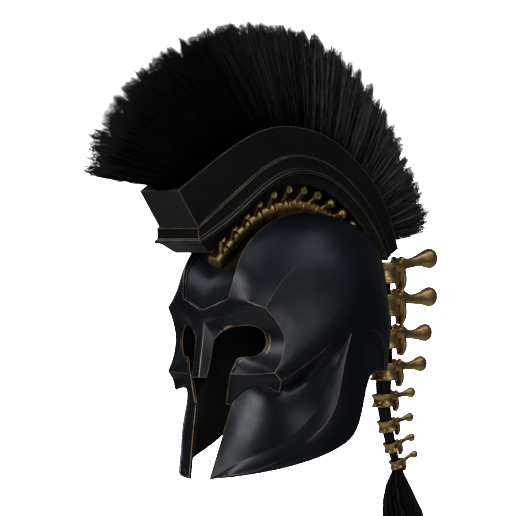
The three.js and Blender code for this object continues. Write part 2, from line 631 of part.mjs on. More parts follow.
function buildBackVertebra({ y, z, radius, length, core, knobY, knobZ, knob }, lean) {
  const body = solid(spool(radius, length, core + GAP)).rotate([lean, 0, 0]);
  const reach = knobY - y;
  const lift = knobZ - z;
  const thick = radius * ARCH.thick + knob * ARCH.knobShare;
  const archY = radius * ARCH.out;
  const archZ = length * ARCH.up;
  const spine = limb([
    [0, archY - thick * 0.6, archZ - thick * 0.4, thick * SPINE.root],
    [0, archY + thick * 0.7, archZ - thick * 0.2, thick * SPINE.root],
    [0, reach * SPINE.neckAt, lift * SPINE.neckAt + archZ * SPINE.neckUp, knob * SPINE.neck],
    [0, reach - knob * 0.6, lift, knob * SPINE.back],
    [0, reach + knob * 0.3, lift, knob],
    [0, reach + knob, lift, knob * SPINE.tip],
  ], 5, SPINE.flat);
  const lamina = limb([
    [0, archY, archZ, thick * LAMINA.root],
    [0, archY + thick * 0.6, -length * LAMINA.middleAt, thick],
    [0, archY + thick * 0.2, -length * LAMINA.tipAt, thick * LAMINA.tip],
  ], 4, LAMINA.wide);
  const pedicles = [-1, 1].map((side) => limb([
    [side * radius * PEDICLE.across, radius * PEDICLE.out, length * PEDICLE.up, thick * PEDICLE.thick],
    [side * radius * PEDICLE.meet, archY, archZ, thick * PEDICLE.thick],
  ], 4));
  const pieces = [spine, lamina, ...pedicles];
  return body.add(fuse(pieces)).translate([0, y, z]);
}

function buildCrownVertebra(i) {
  const { centre, way, normal } = crownPlace(i);
  const neighbour = crownPlace(i === 0 ? 1 : i - 1).centre;
  const length = centre.distanceTo(neighbour) - CROWN_BODY.gap;
  const turn = THREE.MathUtils.radToDeg(Math.atan2(-way.y, way.z));
  const { radius, waist, root, stem, knobOut, lean } = CROWN_BODY;
  const knob = THREE.MathUtils.lerp(CROWN_KNOB.front, CROWN_KNOB.rear, i / (CROWN.length - 1));
  const body = solid(spool(radius, length, 0, waist)).rotate([turn, 0, 0]).translate(centre.toArray());
  const place = (x, up, thick) => {
    const p = centre.clone().addScaledVector(normal, up).addScaledVector(way, lean * up);
    return [x, p.y, p.z, thick];
  };
  const tilt = normal.clone().addScaledVector(way, lean).normalize();
  const toCrest = reachToCrest(centre, tilt);
  const head = (toCrest < CROWN_BODY.reach ? toCrest : CROWN_SHORT * radius) * tilt.dot(normal) - GAP - knob;
  const processes = [-1, 1].map((side) => limb([
    place(side * radius * CROWN_ROOT, radius * CROWN_ROOT, root),
    place(side * knobOut * CROWN_WAIST, head * CROWN_WAIST, stem),
    place(side * knobOut, head, knob),
    place(side * (knobOut + knob * CROWN_ROOT), head, knob * CROWN_WAIST),
  ], 5));
  return body.add(fuse(processes));
}

// ---------------------------------------------------------------- hair
// Outline of the crest's hair tips in side view, front to rear, as [across, along, up].
const hairTips = curveThrough([
  [0, -304, 338], [0, -299, 370], [0, -281, 405], [0, -249, 440], [0, -210, 467], [0, -170, 488],
  [0, -130, 503], [0, -89, 512], [0, -50, 514], [0, -13, 513], [0, 25, 507], [0, 62, 495], [0, 93, 477],
  [0, 122, 454], [0, 152, 421], [0, 174, 392], [0, 197, 353], [0, 213, 325], [0, 223, 299], [0, 219, 276],
]);

// A place in the fan of hair: t from front to rear, reach from the holder's rim (0) to the tips (1).
function hairPlace(t, reach, across) {
  const root = crestRim.getPointAt(t);
  return root.lerp(hairTips.getPointAt(t), reach).setX(across);
}

function buildPlume() {
  const rings = [];
  for (let i = 0; i <= HAIR.steps; i++) {
    const t = THREE.MathUtils.lerp(HAIR_FROM, 1 - HAIR_FROM, i / HAIR.steps);
    const inside = crestHalfWidth(t) - CREST_WALL - 3 * GAP;
    const rim = crestRim.getPoint(t);
    const foot = crestFoot.getPoint(t);
    const depth = rim.distanceTo(foot);
    const sunk = (TROUGH_DEPTH * capped(depth / CREST_MOULDING_SPAN) - HAIR.sunk) / depth;
    const floor = rim.clone().lerp(foot, sunk);
    const share = crestShare(t);
    const high = hairPlace(share, HAIR.core, 0);
    const middle = hairPlace(share, HAIR.half, 0);
    const width = Math.min(inside, HAIR.halfWidth);
    const right = [[floor, 1], [rim, 1], [middle, HAIR_BELLY], [high, HAIR_CROWN]];
    const side = (sign) => right.map(([p, wide]) => point(sign * width * wide, p.y, p.z));
    rings.push([...side(1), ...reversed(side(-1))]);
  }
  const locks = Array.from({ length: HAIR.locks }, (_, k) => {
    const t = THREE.MathUtils.lerp(LOCK_FROM, 1 - LOCK_FROM, k / (HAIR.locks - 1));
    const across = k % 2 === 0 ? -HAIR.lockAcross : HAIR.lockAcross;
    const root = hairPlace(t, HAIR.half, across);
    const tip = hairPlace(t, 1, across);
    const bend = hairPlace(t, HAIR.core, across);
    return limb([
      [root.x, root.y, root.z, HAIR.lockRadius],
      [bend.x, bend.y, bend.z, HAIR.lockRadius],
      [tip.x, tip.y, tip.z, LOCK_TIP],
    ], 4);
  });
  return geometryOf(solid(loft(rings)).add(fuse(locks)));
}

// Share of the rim's length at a curve parameter.
function crestShare(t) {
  const lengths = crestRim.getLengths(SPACING_STEPS);
  return lengths[Math.round(t * SPACING_STEPS)] / lengths[SPACING_STEPS];
}

// The hair core runs through the bores of the hanging vertebrae, a little past the first and the last.
const TAIL_TOP = { y: 153.5, z: 241.5, core: 12 };
const TAIL_FOOT = { y: 180.5, z: 5.2, core: 6.4 };
const TAIL_STEPS = 12;

function buildTailCore() {
  const rows = [TAIL_TOP, ...BACK, TAIL_FOOT];
  const path = curveThrough(rows.map(({ y, z }) => [0, y, z]));
  const radii = curveThrough(rows.map(({ core }, i) => [core, i, 0]));
  return limb(Array.from({ length: TAIL_STEPS + 1 }, (_, i) => {
    const p = path.getPoint(i / TAIL_STEPS);
    return [0, p.y, p.z, radii.getPoint(i / TAIL_STEPS).x - TAIL_PLAY];
  }), 8);
}

// Tassel below the last vertebra: its outline widens to a brush and closes at the tips.
const TASSEL_ROWS = [
  { y: 181, z: 3.2, radius: 6 }, { y: 181, z: -10, radius: 14.5 }, { y: 183, z: -26, radius: 20.5 },
  { y: 189, z: -44, radius: 25.5 }, { y: 193, z: -70, radius: 27 }, { y: 196, z: -96, radius: 20 },
];
const TASSEL_TIP = { y: 197, z: -126 };

function buildTassel() {
  const body = limb(TASSEL_ROWS.map(({ y, z, radius }) => [0, y, z, radius * TASSEL.body]), 8);
  const end = TASSEL_ROWS[TASSEL_ROWS.length - 2];
  const locks = Array.from({ length: TASSEL.locks }, (_, k) => {
    const turn = (2 * Math.PI * k) / TASSEL.locks;
    const spread = (share) => [Math.cos(turn) * end.radius * share, Math.sin(turn) * end.radius * share];
    const [x0, y0] = spread(0.6);
    const [x1, y1] = spread(0.35);
    return limb([
      [x0, end.y + y0, end.z + TASSEL.above, TASSEL.lockRadius],
      [x0, end.y + y0, end.z - TASSEL.below, TASSEL.lockRadius],
      [x1, TASSEL_TIP.y + y1, TASSEL_TIP.z + TASSEL.ragged * (k % 2), LOCK_TIP],
    ], 4);
  });
  return geometryOf(solid(body).add(fuse(locks)));
}

// ---------------------------------------------------------------- assembly
const MATERIAL = {
  bronze: new THREE.MeshStandardMaterial({ color: 0x1a2028, roughness: 0.38, metalness: 0.85 }),
  holder: new THREE.MeshStandardMaterial({ color: 0x15130f, roughness: 0.42, metalness: 0.6 }),
  brass: new THREE.MeshStandardMaterial({ color: 0x8a6a33, roughness: 0.33, metalness: 0.95 }),
  hair: new THREE.MeshStandardMaterial({ color: 0x0b0b0c, roughness: 0.6, metalness: 0 }),
};

const helmet = new THREE.Group();

function addPiece(name, geometry, material) {
  const mesh = new THREE.Mesh(geometry, material);
  mesh.name = name;
  mesh.position.z = -SEAT_HEIGHT;
  helmet.add(mesh);
}

const numbered = (stem, i) => `${stem}_${String(i + 1).padStart(2, "0")}`;

addPiece("helmet_shell", buildBowl(), MATERIAL.bronze);
addPiece("crest_holder", buildCrestHolder(), MATERIAL.holder);
addPiece("crest_plume", buildPlume(), MATERIAL.hair);
CROWN.forEach((_, i) => {
  addPiece(numbered("crown_vertebra", i), geometryOf(buildCrownVertebra(i)), MATERIAL.brass);
});
BACK.forEach((row, i) => {
  const above = BACK[Math.max(0, i - 1)];
  const below = BACK[Math.min(BACK.length - 1, i + 1)];
  const lean = THREE.MathUtils.radToDeg(Math.atan2(above.y - below.y, above.z - below.z));
  addPiece(numbered("back_vertebra", i), geometryOf(buildBackVertebra(row, -lean)), MATERIAL.brass);
});
addPiece("tail_core", buildTailCore(), MATERIAL.hair);
addPiece("tail_tassel", buildTassel(), MATERIAL.hair);

export default helmet;
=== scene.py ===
import math

import bmesh
import bpy
import numpy as np
from mathutils import Matrix, Vector, kdtree


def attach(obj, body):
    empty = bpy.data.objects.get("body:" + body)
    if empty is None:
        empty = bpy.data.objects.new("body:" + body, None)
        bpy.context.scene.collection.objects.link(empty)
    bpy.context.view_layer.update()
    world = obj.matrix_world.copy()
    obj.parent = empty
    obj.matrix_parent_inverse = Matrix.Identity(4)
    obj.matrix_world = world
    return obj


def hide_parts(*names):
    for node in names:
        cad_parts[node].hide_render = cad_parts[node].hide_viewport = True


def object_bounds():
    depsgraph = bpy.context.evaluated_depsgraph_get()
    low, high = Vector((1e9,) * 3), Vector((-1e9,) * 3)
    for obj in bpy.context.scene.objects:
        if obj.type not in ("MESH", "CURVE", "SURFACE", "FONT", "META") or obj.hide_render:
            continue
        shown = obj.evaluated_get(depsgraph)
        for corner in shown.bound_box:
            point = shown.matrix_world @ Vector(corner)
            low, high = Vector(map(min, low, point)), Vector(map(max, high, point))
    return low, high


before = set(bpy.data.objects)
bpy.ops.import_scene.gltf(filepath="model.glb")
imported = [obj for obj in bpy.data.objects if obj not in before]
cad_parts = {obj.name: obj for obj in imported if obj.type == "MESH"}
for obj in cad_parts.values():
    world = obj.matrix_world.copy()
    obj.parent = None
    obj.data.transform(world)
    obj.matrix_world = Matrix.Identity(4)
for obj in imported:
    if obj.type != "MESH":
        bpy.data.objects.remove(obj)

CAD_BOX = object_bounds()

# ---------------------------------------------------------------- driving sizes, in metres
MM = 0.001
SEAT_HEIGHT = 0.291          # head seat above the tips of the cheek plates
WELD = 1e-5                  # vertices closer than this are one
TINY = 1e-12                 # keeps a length that is divided by above zero
SEED = 7
rng = np.random.default_rng(SEED)


def placed(x, y, z):
    """A place given in millimetres above the tips of the cheek plates, in the frame."""
    return Vector((x * MM, y * MM, z * MM - SEAT_HEIGHT))


# ---------------------------------------------------------------- small helpers
def shade_smooth(mesh):
    """Every face of a mesh is shaded smooth; edges marked sharp stay crisp."""
    mesh.polygons.foreach_set("use_smooth", [True] * len(mesh.polygons))


def add_object(name, mesh, material, slot, *nodes):
    """A new piece of the helmet that rides on its one body and stands for CAD nodes."""
    piece = bpy.data.objects.new(name, mesh)
    bpy.context.scene.collection.objects.link(piece)
    mesh.materials.append(material)
    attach(piece, "root")
    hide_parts(*nodes)
    return piece


def mesh_of_arrays(name, points, triangles):
    """A mesh from an array of points and an array of triangles."""
    mesh = bpy.data.meshes.new(name)
    mesh.vertices.add(len(points))
    mesh.vertices.foreach_set("co", points.astype(np.float32).ravel())
    mesh.loops.add(3 * len(triangles))
    mesh.loops.foreach_set("vertex_index", triangles.astype(np.int32).ravel())
    mesh.polygons.add(len(triangles))
    mesh.polygons.foreach_set("loop_start", np.arange(0, 3 * len(triangles), 3, dtype=np.int32))
    mesh.update(calc_edges=True)
    mesh.validate()
    shade_smooth(mesh)
    return mesh


def curve_through(rows, steps=24):
    """Points along a centripetal Catmull-Rom curve through rows of any width."""
    rows = np.array(rows, dtype=float)
    rows = np.vstack([2 * rows[0] - rows[1], rows, 2 * rows[-1] - rows[-2]])
    s = np.linspace(0, 1, steps, endpoint=False)[:, None]
    pieces = []
    for p0, p1, p2, p3 in zip(rows, rows[1:], rows[2:], rows[3:]):
        gaps = (p1 - p0, p2 - p1, p3 - p2)
        d0, d1, d2 = (max(np.linalg.norm(gap), TINY) ** 0.5 for gap in gaps)
        leave = ((p1 - p0) / d0 - (p2 - p0) / (d0 + d1) + (p2 - p1) / d1) * d1
        arrive = ((p2 - p1) / d1 - (p3 - p1) / (d1 + d2) + (p3 - p2) / d2) * d1
        pieces.append(p1 + leave * s + (3 * (p2 - p1) - 2 * leave - arrive) * s ** 2
                      + (2 * (p1 - p2) + leave + arrive) * s ** 3)
    return np.vstack([*pieces, rows[-2:-1]])


def run_of(points):
    """Length along a line of points, at each of them."""
    return np.concatenate([[0], np.cumsum(np.linalg.norm(np.diff(points, axis=0), axis=1))])


# ---------------------------------------------------------------- node helpers
BEVEL_SAMPLES = 6
EDGE_BEND = (0.9994, 0.975)  # cosines of the bend where wear starts, and where the metal is bare


class Nodes:
    """Short ways to build a material's node tree."""

    def __init__(self, name):
        self.material = bpy.data.materials.new(name)
        self.material.use_nodes = True
        self.tree = self.material.node_tree
        self.shader = self.tree.nodes["Principled BSDF"]
        self.place = self.tree.nodes.new("ShaderNodeTexCoord").outputs["Object"]

    def add(self, kind, **values):
        """A new node with its properties set."""
        node = self.tree.nodes.new(kind)
        for key, value in values.items():
            setattr(node, key, value)
        return node

    def put(self, socket, value):
        """Links a socket to an output, or sets its own value."""
        if isinstance(value, bpy.types.NodeSocket):
            self.tree.links.new(value, socket)
        else:
            socket.default_value = value

    def stretched(self, across, along, up):
        """Object coordinates scaled by axis."""
        node = self.add("ShaderNodeMapping")
        node.inputs["Scale"].default_value = (across, along, up)
        self.put(node.inputs["Vector"], self.place)
        return node.outputs["Vector"]

    def noise(self, scale, detail=4.0, roughness=0.55, place=None):
        """Noise over the object's coordinates, or over the place given."""
        node = self.add("ShaderNodeTexNoise")
        self.put(node.inputs["Vector"], place or self.place)
        node.inputs["Scale"].default_value = scale
        node.inputs["Detail"].default_value = detail
        node.inputs["Roughness"].default_value = roughness
        return node.outputs["Fac"]

    def ramp(self, value, low, high, start=0.0, end=1.0):
        """Value between low and high as start to end, held flat outside."""
        node = self.add("ShaderNodeMapRange")
        self.put(node.inputs["Value"], value)
        sockets = {"From Min": low, "From Max": high, "To Min": start, "To Max": end}
        for name, number in sockets.items():
            node.inputs[name].default_value = number
        return node.outputs["Result"]

    def math(self, operation, a, b=0.0):
        """The result of an operation on two numbers or outputs."""
        node = self.add("ShaderNodeMath", operation=operation)
        self.put(node.inputs[0], a)
        self.put(node.inputs[1], b)
        return node.outputs["Value"]

    def mix(self, share, a, b):
        """Colour a at share 0 and b at share 1."""
        node = self.add("ShaderNodeMix", data_type="RGBA")
        self.put(node.inputs["Factor"], share)
        for name, colour in (("A", a), ("B", b)):
            socket = [s for s in node.inputs if s.name == name and s.type == "RGBA"][0]
            self.put(socket, colour if isinstance(colour, bpy.types.NodeSocket) else (*colour, 1))
        return [s for s in node.outputs if s.type == "RGBA"][0]

    def attribute(self, name):
        """A mesh attribute, as a number."""
        return self.add("ShaderNodeAttribute", attribute_name=name).outputs["Fac"]

    def pattern(self, noise, spread, place=None):
        """Noise of (scale, detail, roughness) through a ramp of (low, high, start, end)."""
        return self.ramp(self.noise(*noise, place=place), *spread)

    def relief(self, noise, strength, height, normal=None):
        """A normal raised by noise of (scale, detail, roughness), on top of another normal."""
        node = self.add("ShaderNodeBump")
        self.put(node.inputs["Height"], self.noise(*noise))
        node.inputs["Strength"].default_value = strength
        node.inputs["Distance"].default_value = height
        if normal:
            self.put(node.inputs["Normal"], normal)
        return node.outputs["Normal"]

    def edge_mask(self, radius):
        """(1 on an edge and 0 off it, normal rounded over that edge)."""
        bevel = self.add("ShaderNodeBevel", samples=BEVEL_SAMPLES)
        bevel.inputs["Radius"].default_value = radius
        geometry = self.add("ShaderNodeNewGeometry")
        dot = self.add("ShaderNodeVectorMath", operation="DOT_PRODUCT")
        self.put(dot.inputs[0], bevel.outputs["Normal"])
        self.put(dot.inputs[1], geometry.outputs["Normal"])
        return self.ramp(dot.outputs["Value"], *EDGE_BEND), bevel.outputs["Normal"]

    def finish(self, colour, metallic, roughness, normal):
        """Sets the shader's main inputs and gives the material."""
        sockets = {"Base Color": colour, "Metallic": metallic, "Roughness": roughness,
                   "Normal": normal}
        for name, value in sockets.items():
            self.put(self.shader.inputs[name], value)
        return self.material


# ---------------------------------------------------------------- materials
EDGE_RADIUS = 1.2 * MM       # rounding of a bronze edge, and the reach of its wear
BRONZE_METAL, BRONZE_SHEEN = 0.5, 0.9
HIDDEN_METAL, HIDDEN_ROUGH = 0.3, 0.2   # metal that the bowl's inside lacks, roughness that it adds
HOLLOW = {"samples": 8, "reach": 9 * MM, "open": (0.3, 0.9)}   # open: dark below, bright above
HAIR_SHEEN = 0.12

PATINA = {
    "bowl_bronze": {"dark": (0.006, 0.009, 0.015), "light": (0.011, 0.015, 0.025),
                    "stain": (0.016, 0.014, 0.012), "worn": (0.75, 0.49, 0.29)},
    "holder_bronze": {"dark": (0.009, 0.009, 0.009), "light": (0.017, 0.016, 0.015),
                      "stain": (0.022, 0.015, 0.009), "worn": (0.42, 0.31, 0.20)},
}
# painted shade: the bowl's inside is coloured near-black brown for the shade that falls in it
INSIDE_SHADE = (0.007, 0.005, 0.004)                 # the bowl's inside
BRIGHT_BRASS, DULL_BRASS = (0.90, 0.60, 0.24), (0.62, 0.39, 0.14)
DARK_BRASS = (0.022, 0.012, 0.006)           # in hollows
# PALE_HAIR: the strands' own paler tone, and on the plume towards the nape also painted light
BLACK_HAIR, PALE_HAIR = (0.0006, 0.0006, 0.0006), (0.360, 0.350, 0.338)

# Patterns: noise of (scale, detail, roughness), and its ramp (low, high, start, end).
CLOUDS = (9, 4, 0.5), (0.35, 0.7)
STAINS = (38, 6, 0.7), (0.58, 0.78, 0.0, 0.6)
RUBBED = (55, 5, 0.7), (0.36, 0.56, 0.35, 1.0)
SATIN = (70, 5, 0.65), (0.3, 0.7, 0.31, 0.38)
SCRATCHES = (1.0, 2, 0.5), (0.55, 0.8, 0, 0.08)
SCRATCH_SCALES = (900, 700, 60)              # across, along and up, so that they run up and down
TARNISH = (110, 5, 0.65), (0.35, 0.7)
BRASS_ROUGH = (200, 5, 0.6), (0.3, 0.7, 0.30, 0.44)
HAIR_ROUGH = (500, 2), (0.3, 0.7, 0.38, 0.52)

# Reliefs: noise of (scale, detail, roughness), the strength of the bump and its height.
GRAIN = (800, 4, 0.6), 0.08, 0.1 * MM
LUMPS = (160, 3, 0.5), 0.2, 0.6 * MM
PITS = (1400, 3, 0.6), 0.1, 0.1 * MM
FIBRES = (2500, 2), 0.2, 0.05 * MM


def bronze(name, dark, light, stain, worn):
    """Patinated bronze: a dark satin skin, clouded and scratched, with bare metal on its edges."""
    n = Nodes(name)
    skin = n.mix(n.pattern(*CLOUDS), dark, light)
    skin = n.mix(n.pattern(*STAINS), skin, stain)
    edge, rounded = n.edge_mask(EDGE_RADIUS)
    bare = n.math("MULTIPLY", edge, n.pattern(*RUBBED))
    skin = n.mix(n.math("MULTIPLY", bare, n.attribute("ridge")), skin, worn)
    hidden = n.attribute("inside")
    # painted shade on the bowl's inside
    skin = n.mix(hidden, skin, INSIDE_SHADE)
    metallic = n.math("SUBTRACT", BRONZE_METAL, n.math("MULTIPLY", hidden, HIDDEN_METAL))
    scratches = n.pattern(*SCRATCHES, n.stretched(*SCRATCH_SCALES))
    rough = n.math("ADD", n.pattern(*SATIN), scratches)
    rough = n.math("ADD", rough, n.math("MULTIPLY", hidden, HIDDEN_ROUGH))
    n.shader.inputs["Specular IOR Level"].default_value = BRONZE_SHEEN
    return n.finish(skin, metallic, rough, n.relief(*GRAIN, rounded))


def brass():
    """Antique brass, bright on its swellings and dark in its hollows."""
    n = Nodes("antique_brass")
    hollow = n.add("ShaderNodeAmbientOcclusion", samples=HOLLOW["samples"], only_local=True)
    hollow.inputs["Distance"].default_value = HOLLOW["reach"]
    metal = n.mix(n.pattern(*TARNISH), BRIGHT_BRASS, DULL_BRASS)
    skin = n.mix(n.ramp(hollow.outputs["AO"], *HOLLOW["open"]), DARK_BRASS, metal)
    return n.finish(skin, 1.0, n.pattern(*BRASS_ROUGH), n.relief(*PITS, n.relief(*LUMPS)))


def horsehair():
    """Horsehair: each strand has its own tone, paler towards its tip."""
    n = Nodes("black_horsehair")
    # tone: each strand's own, and on the plume towards the nape also painted light
    skin = n.mix(n.attribute("tone"), BLACK_HAIR, PALE_HAIR)
    n.shader.inputs["Specular IOR Level"].default_value = HAIR_SHEEN
    return n.finish(skin, 0.0, n.pattern(*HAIR_ROUGH), n.relief(*FIBRES))


NAVY, BROWN = (bronze(name, **colours) for name, colours in PATINA.items())
BRASS = brass()
HAIR = horsehair()

# ---------------------------------------------------------------- bronze skins
# Corners of the left half of the bowl as (across, along, up) in millimetres above the cheeks' tips.
CORNER = {
    "noseTop": (0, -131, 174), "noseTopEdge": (5.2, -129, 174), "noseTip": (0, -139, 113.5),
    "noseTipEdge": (5.6, -138.5, 113.5), "noseSide": (15, -123.7, 156),
    "noseFoot": (12, -132.5, 113.5), "peak": (0, -129, 188), "peakEnd": (36.4, -122.5, 201.5),
    "brow": (79, -106.5, 191), "temple": (88.8, -84.3, 157), "cheekbone": (86.6, -99.2, 119),
    "cheekStep": (88, -90.3, 110), "cheekInset": (84, -89.9, 97), "cheekFront": (32, -116.1, 117),
    "cheekTip": (25.5, -115.6, 84), "scoopFront": (29, -110.5, 82.5), "chin": (16.5, -133, 0),
    "scoopTop": (104.5, 3, 163), "flangeTurn": (99, 31, 95), "domeRear": (60, 92, 248),
    "archFoot": (77, 83, 119), "napeRidge": (42, 119, 119), "napeLip": (27, 125, 119),
    "eyeTop": (51.5, -103, 171.8), "eyeCorner": (68.2, -93.8, 151),
    "eyeFloor": (55, -102.6, 136.4),
}

# Fold lines of the left half of the bowl, through corners and (across, along, up) places.
FOLDS = {
    "noseEdge": ["noseTopEdge", "noseTipEdge"],
    "noseTurn": ["noseTopEdge", "noseSide"],
    "noseBack": ["noseSide", (13, -128.3, 129.6), "noseFoot"],
    "peakEdge": ["peak", "peakEnd"],
    "channelLip": ["peakEnd", (39.5, -120.3, 216), (42, -116.5, 234), (41, -107, 252),
        (40, -89.4, 269), (40, -49, 292), (40, -2, 298.5), (40, 41.5, 293), (39, 75.5, 280),
        (37, 107, 258), (33, 126.5, 213), (30, 130, 165), "napeLip"],
    "browLine": ["noseTopEdge", (19, -124.8, 178.9), (43, -116, 185.6), "brow"],
    "templeRidge": ["brow", (78.5, -82.8, 218.5), (79.5, -63, 235.4), (82, -36, 250),
        (82, -6, 259.5), (78, 31.6, 263), (70, 66, 259.5), "domeRear"],
    "eyeRimUpper": ["brow", (84.5, -93.5, 175.5), "temple"],
    "eyeRimLower": ["temple", (88.8, -87.5, 136), "cheekbone"],
    "cheekboneCorner": ["cheekbone", "cheekStep"],
    "cheekboneDrop": ["cheekStep", "cheekInset"],
    "cheekboneEdge": ["cheekbone", (60, -104.5, 117.4), "cheekFront"],
    "cheekFrontEdge": ["cheekFront", "cheekTip"],
    "cheekNotch": ["cheekTip", "scoopFront"],
    "arch": ["scoopFront", (34, -105.9, 91), (42, -100.6, 99.4), (53, -97.4, 103.2),
        (69, -92.8, 102), "cheekInset"],
    "scoopUpper": ["cheekStep", (94, -64.4, 124.7), (99, -42.3, 139), (102, -21.8, 153.6),
        "scoopTop"],
    "scoopLower": ["chin", (34, -123.5, 11.5), (50, -113.4, 21.5), (70, -95.3, 32),
        (85, -71.8, 47.4), (92.5, -50.6, 66.5), (96.5, -35.5, 87), (99, -25.6, 110),
        (102, -10.2, 141.6), "scoopTop"],
    "bevelEdge": ["chin", (41, -123.7, 5.6), (56, -110, 9.4), (71, -96, 15), (84, -80, 26),
        (94.5, -61.7, 39.5), (101.5, -48, 52), (104, -31, 65.2), (105, -19.5, 85),
        (105.2, -10, 125), "scoopTop"],
    "frontRim": ["scoopFront", "chin"],
    "bottomRim": ["chin", (36, -125, 1.6), (57, -111, 5), (82, -78.4, 12.6), (92, -59.9, 18.5),
        (100, -38.9, 25), (105.5, -6.3, 39.2), (106, 4, 45), (105.3, 12, 54), (102.5, 21.5, 72),
        "flangeTurn"],
    "neckArch": ["scoopTop", (102, 29, 167), (94.5, 56.5, 162.3), (88, 70, 154), (82, 78, 139),
        "archFoot"],
    "flangeRear": ["flangeTurn", (96.5, 38.5, 110), (93, 48, 117.5), (87, 64, 119), "archFoot"],
    "napeSide": ["archFoot", (61, 104, 119), "napeRidge"],
    "eyeTop": ["noseSide", (21, -120.7, 164.4), (34, -113, 170.4), "eyeTop"],
    "eyeOuter": ["eyeTop", (64.5, -95.4, 165.6), "eyeCorner"],
    "eyeLower": ["eyeCorner", (65, -96, 141.6), "eyeFloor"],
    "eyeFront": ["eyeFloor", (40, -111.6, 135.3), (37.3, -112.6, 131), "cheekFront"],
}

LINE_STEPS = 60              # points of a fold line from one of its places to the next
ON_LINE = 0.35 * MM          # a vertex this near a fold line lies on it
ALONG_LINE = (0.8, 1.15)     # shares of its length that an edge on a fold line runs along it
QUAD_BEND, QUAD_SKEW = math.radians(40), math.radians(75)     # most that joined triangles have
BOWL_FOLD, HOLDER_FOLD = math.radians(55), math.radians(24)   # an edge that bends more is a fold
ROUNDING = 2                 # levels of subdivision
HEAD_MIDDLE = Vector((0, 0, -0.12))
INWARD = -0.25               # outwardness of the faces inside the bowl is less than this


def outwardness(face):
    """How far a face looks away from the middle of the head, from -1 to 1."""
    away = face.calc_center_median() - HEAD_MIDDLE
    away.z = max(away.z, 0)
    return face.normal.dot(away.normalized())


def mark_fold_lines(bm):
    """Marks the bowl's edges that run along its fold lines, on both halves."""
    for rows in FOLDS.values():
        points = [CORNER[row] if isinstance(row, str) else row for row in rows]
        for side in (1, -1):
            curve = curve_through([placed(side * x, y, z) for x, y, z in points], LINE_STEPS)
            run = run_of(curve)
            tree = kdtree.KDTree(len(curve))
            for i, place in enumerate(curve):
                tree.insert(place, i)
            tree.balance()
            reach = {}
            for vert in bm.verts:
                _, i, distance = tree.find(vert.co)
                if distance < ON_LINE + run[-1] / len(curve):
                    reach[vert] = run[i]
            for edge in bm.edges:
                a, b = edge.verts
                if a in reach and b in reach:
                    least, most = (share * edge.calc_length() for share in ALONG_LINE)
                    if least - ON_LINE < abs(reach[a] - reach[b]) < most + ON_LINE:
                        edge.smooth = False


def folded_skin(node, name, fold, material, slot, mark=None):
    """A CAD solid as quads, rounded between its folds.

    An edge is a fold where it bends past an angle, or where mark says so. Only the bowl has a mark,
    and only the bowl has an inside that is told from its outside.
    """
    bm = bmesh.new()
    bm.from_mesh(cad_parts[node].data)
    bmesh.ops.remove_doubles(bm, verts=bm.verts, dist=WELD)
    for edge in bm.edges:
        edge.smooth = edge.calc_face_angle() < fold
    if mark:
        mark(bm)
    bmesh.ops.join_triangles(
        bm, faces=bm.faces, cmp_sharp=True,
        angle_face_threshold=QUAD_BEND, angle_shape_threshold=QUAD_SKEW,
    )
    crease = bm.edges.layers.float.new("crease_edge")
    ridge = bm.faces.layers.float.new("ridge")
    inside = bm.faces.layers.float.new("inside")
    for edge in bm.edges:
        edge[crease] = 0.0 if edge.smooth else 1.0
    for face in bm.faces:
        bends = [edge.calc_face_angle_signed() for edge in face.edges if not edge.smooth]
        face[ridge] = 1.0 if sum(bends) > 0 else 0.0
        face[inside] = 1.0 if mark and outwardness(face) < INWARD else 0.0
    mesh = bpy.data.meshes.new(name)
    bm.to_mesh(mesh)
    bm.free()
    shade_smooth(mesh)
    piece = add_object(name, mesh, material, slot, node)
    rounding = piece.modifiers.new("rounding", "SUBSURF")
    rounding.levels = rounding.render_levels = ROUNDING


folded_skin("helmet_shell", "bowl", BOWL_FOLD, NAVY, "bowl_bronze", mark_fold_lines)
folded_skin("crest_holder", "holder", HOLDER_FOLD, BROWN, "holder_bronze")

# ---------------------------------------------------------------- cast vertebrae
SIDEWAYS = 0.9               # a limb that starts more across than this takes its sides from +Y
LIP = 0.09                   # a body's rolled rim, as a share of its radius
RIM_DROPS = (0.5, 1.6, 2.6)  # lips below a body's end: top and foot of its rim, start of its waist
WAIST_START = (0.4, 0.6)     # shares of rim and waist in the radius where the waist starts
WAIST_HALF = 0.25            # share of a body that keeps the waist's radius
SOFTENING = 0.5              # share of the way to its neighbours that a vertex moves in each round

# Hanging vertebrae, top to bottom, in millimetres: the body's centre, radius, length and hair core,
# and the knob on its spine.
BACK_KEYS = ("y", "z", "radius", "length", "core", "knob_y", "knob_z", "knob")
BACK = [dict(zip(BACK_KEYS, row)) for row in (
    (154, 229.5, 21, 25, 12.5, 231, 245, 10.5),
    (154, 192.5, 21, 26, 12.5, 231, 201, 10.3),
    (157, 154, 19.6, 22.5, 12, 224, 160, 9.2),
    (158.5, 116.5, 16.5, 20.5, 11.5, 217, 124.5, 8.2),
    (157, 84, 13.6, 15.2, 10, 202, 92, 5.6),
    (163, 55, 11.4, 13.6, 8.8, 200, 63.5, 4.9),
    (170.5, 31, 9.9, 11.4, 7.6, 203, 40.5, 4.5),
    (178.5, 11, 8.5, 10, 6.4, 208, 21, 4.2),
)]
BACK_WAIST = 0.83            # narrowest radius of a body, as a share of its rims
THICKNESS = {"radius": 0.24, "knob": 0.08}   # shares of body and knob in a limb's thickness
ARCH = {"out": 1.28, "up": 0.42}   # where limbs meet: radii behind the body's middle, lengths up

# Spine. Its root: along and up from the arch, and radius, in thicknesses. Its neck: shares of the
# way to the knob, of the arch's height and of the knob. Its knob: along, up and radius in knobs.
SPINE_ROOT = [(-0.8, -0.5, 1.1), (0.7, -0.1, 1.35)]
SPINE_NECK = {"way": 0.60, "rise": 0.18, "knob": 0.58}
SPINE_KNOB = [(-1.3, -0.05, 0.76), (-0.5, 0.05, 1.02), (0.1, 0.1, 1.14), (0.6, 0.1, 1.02),
              (0.95, 0.1, 0.68), (1.08, 0.1, 0.25)]
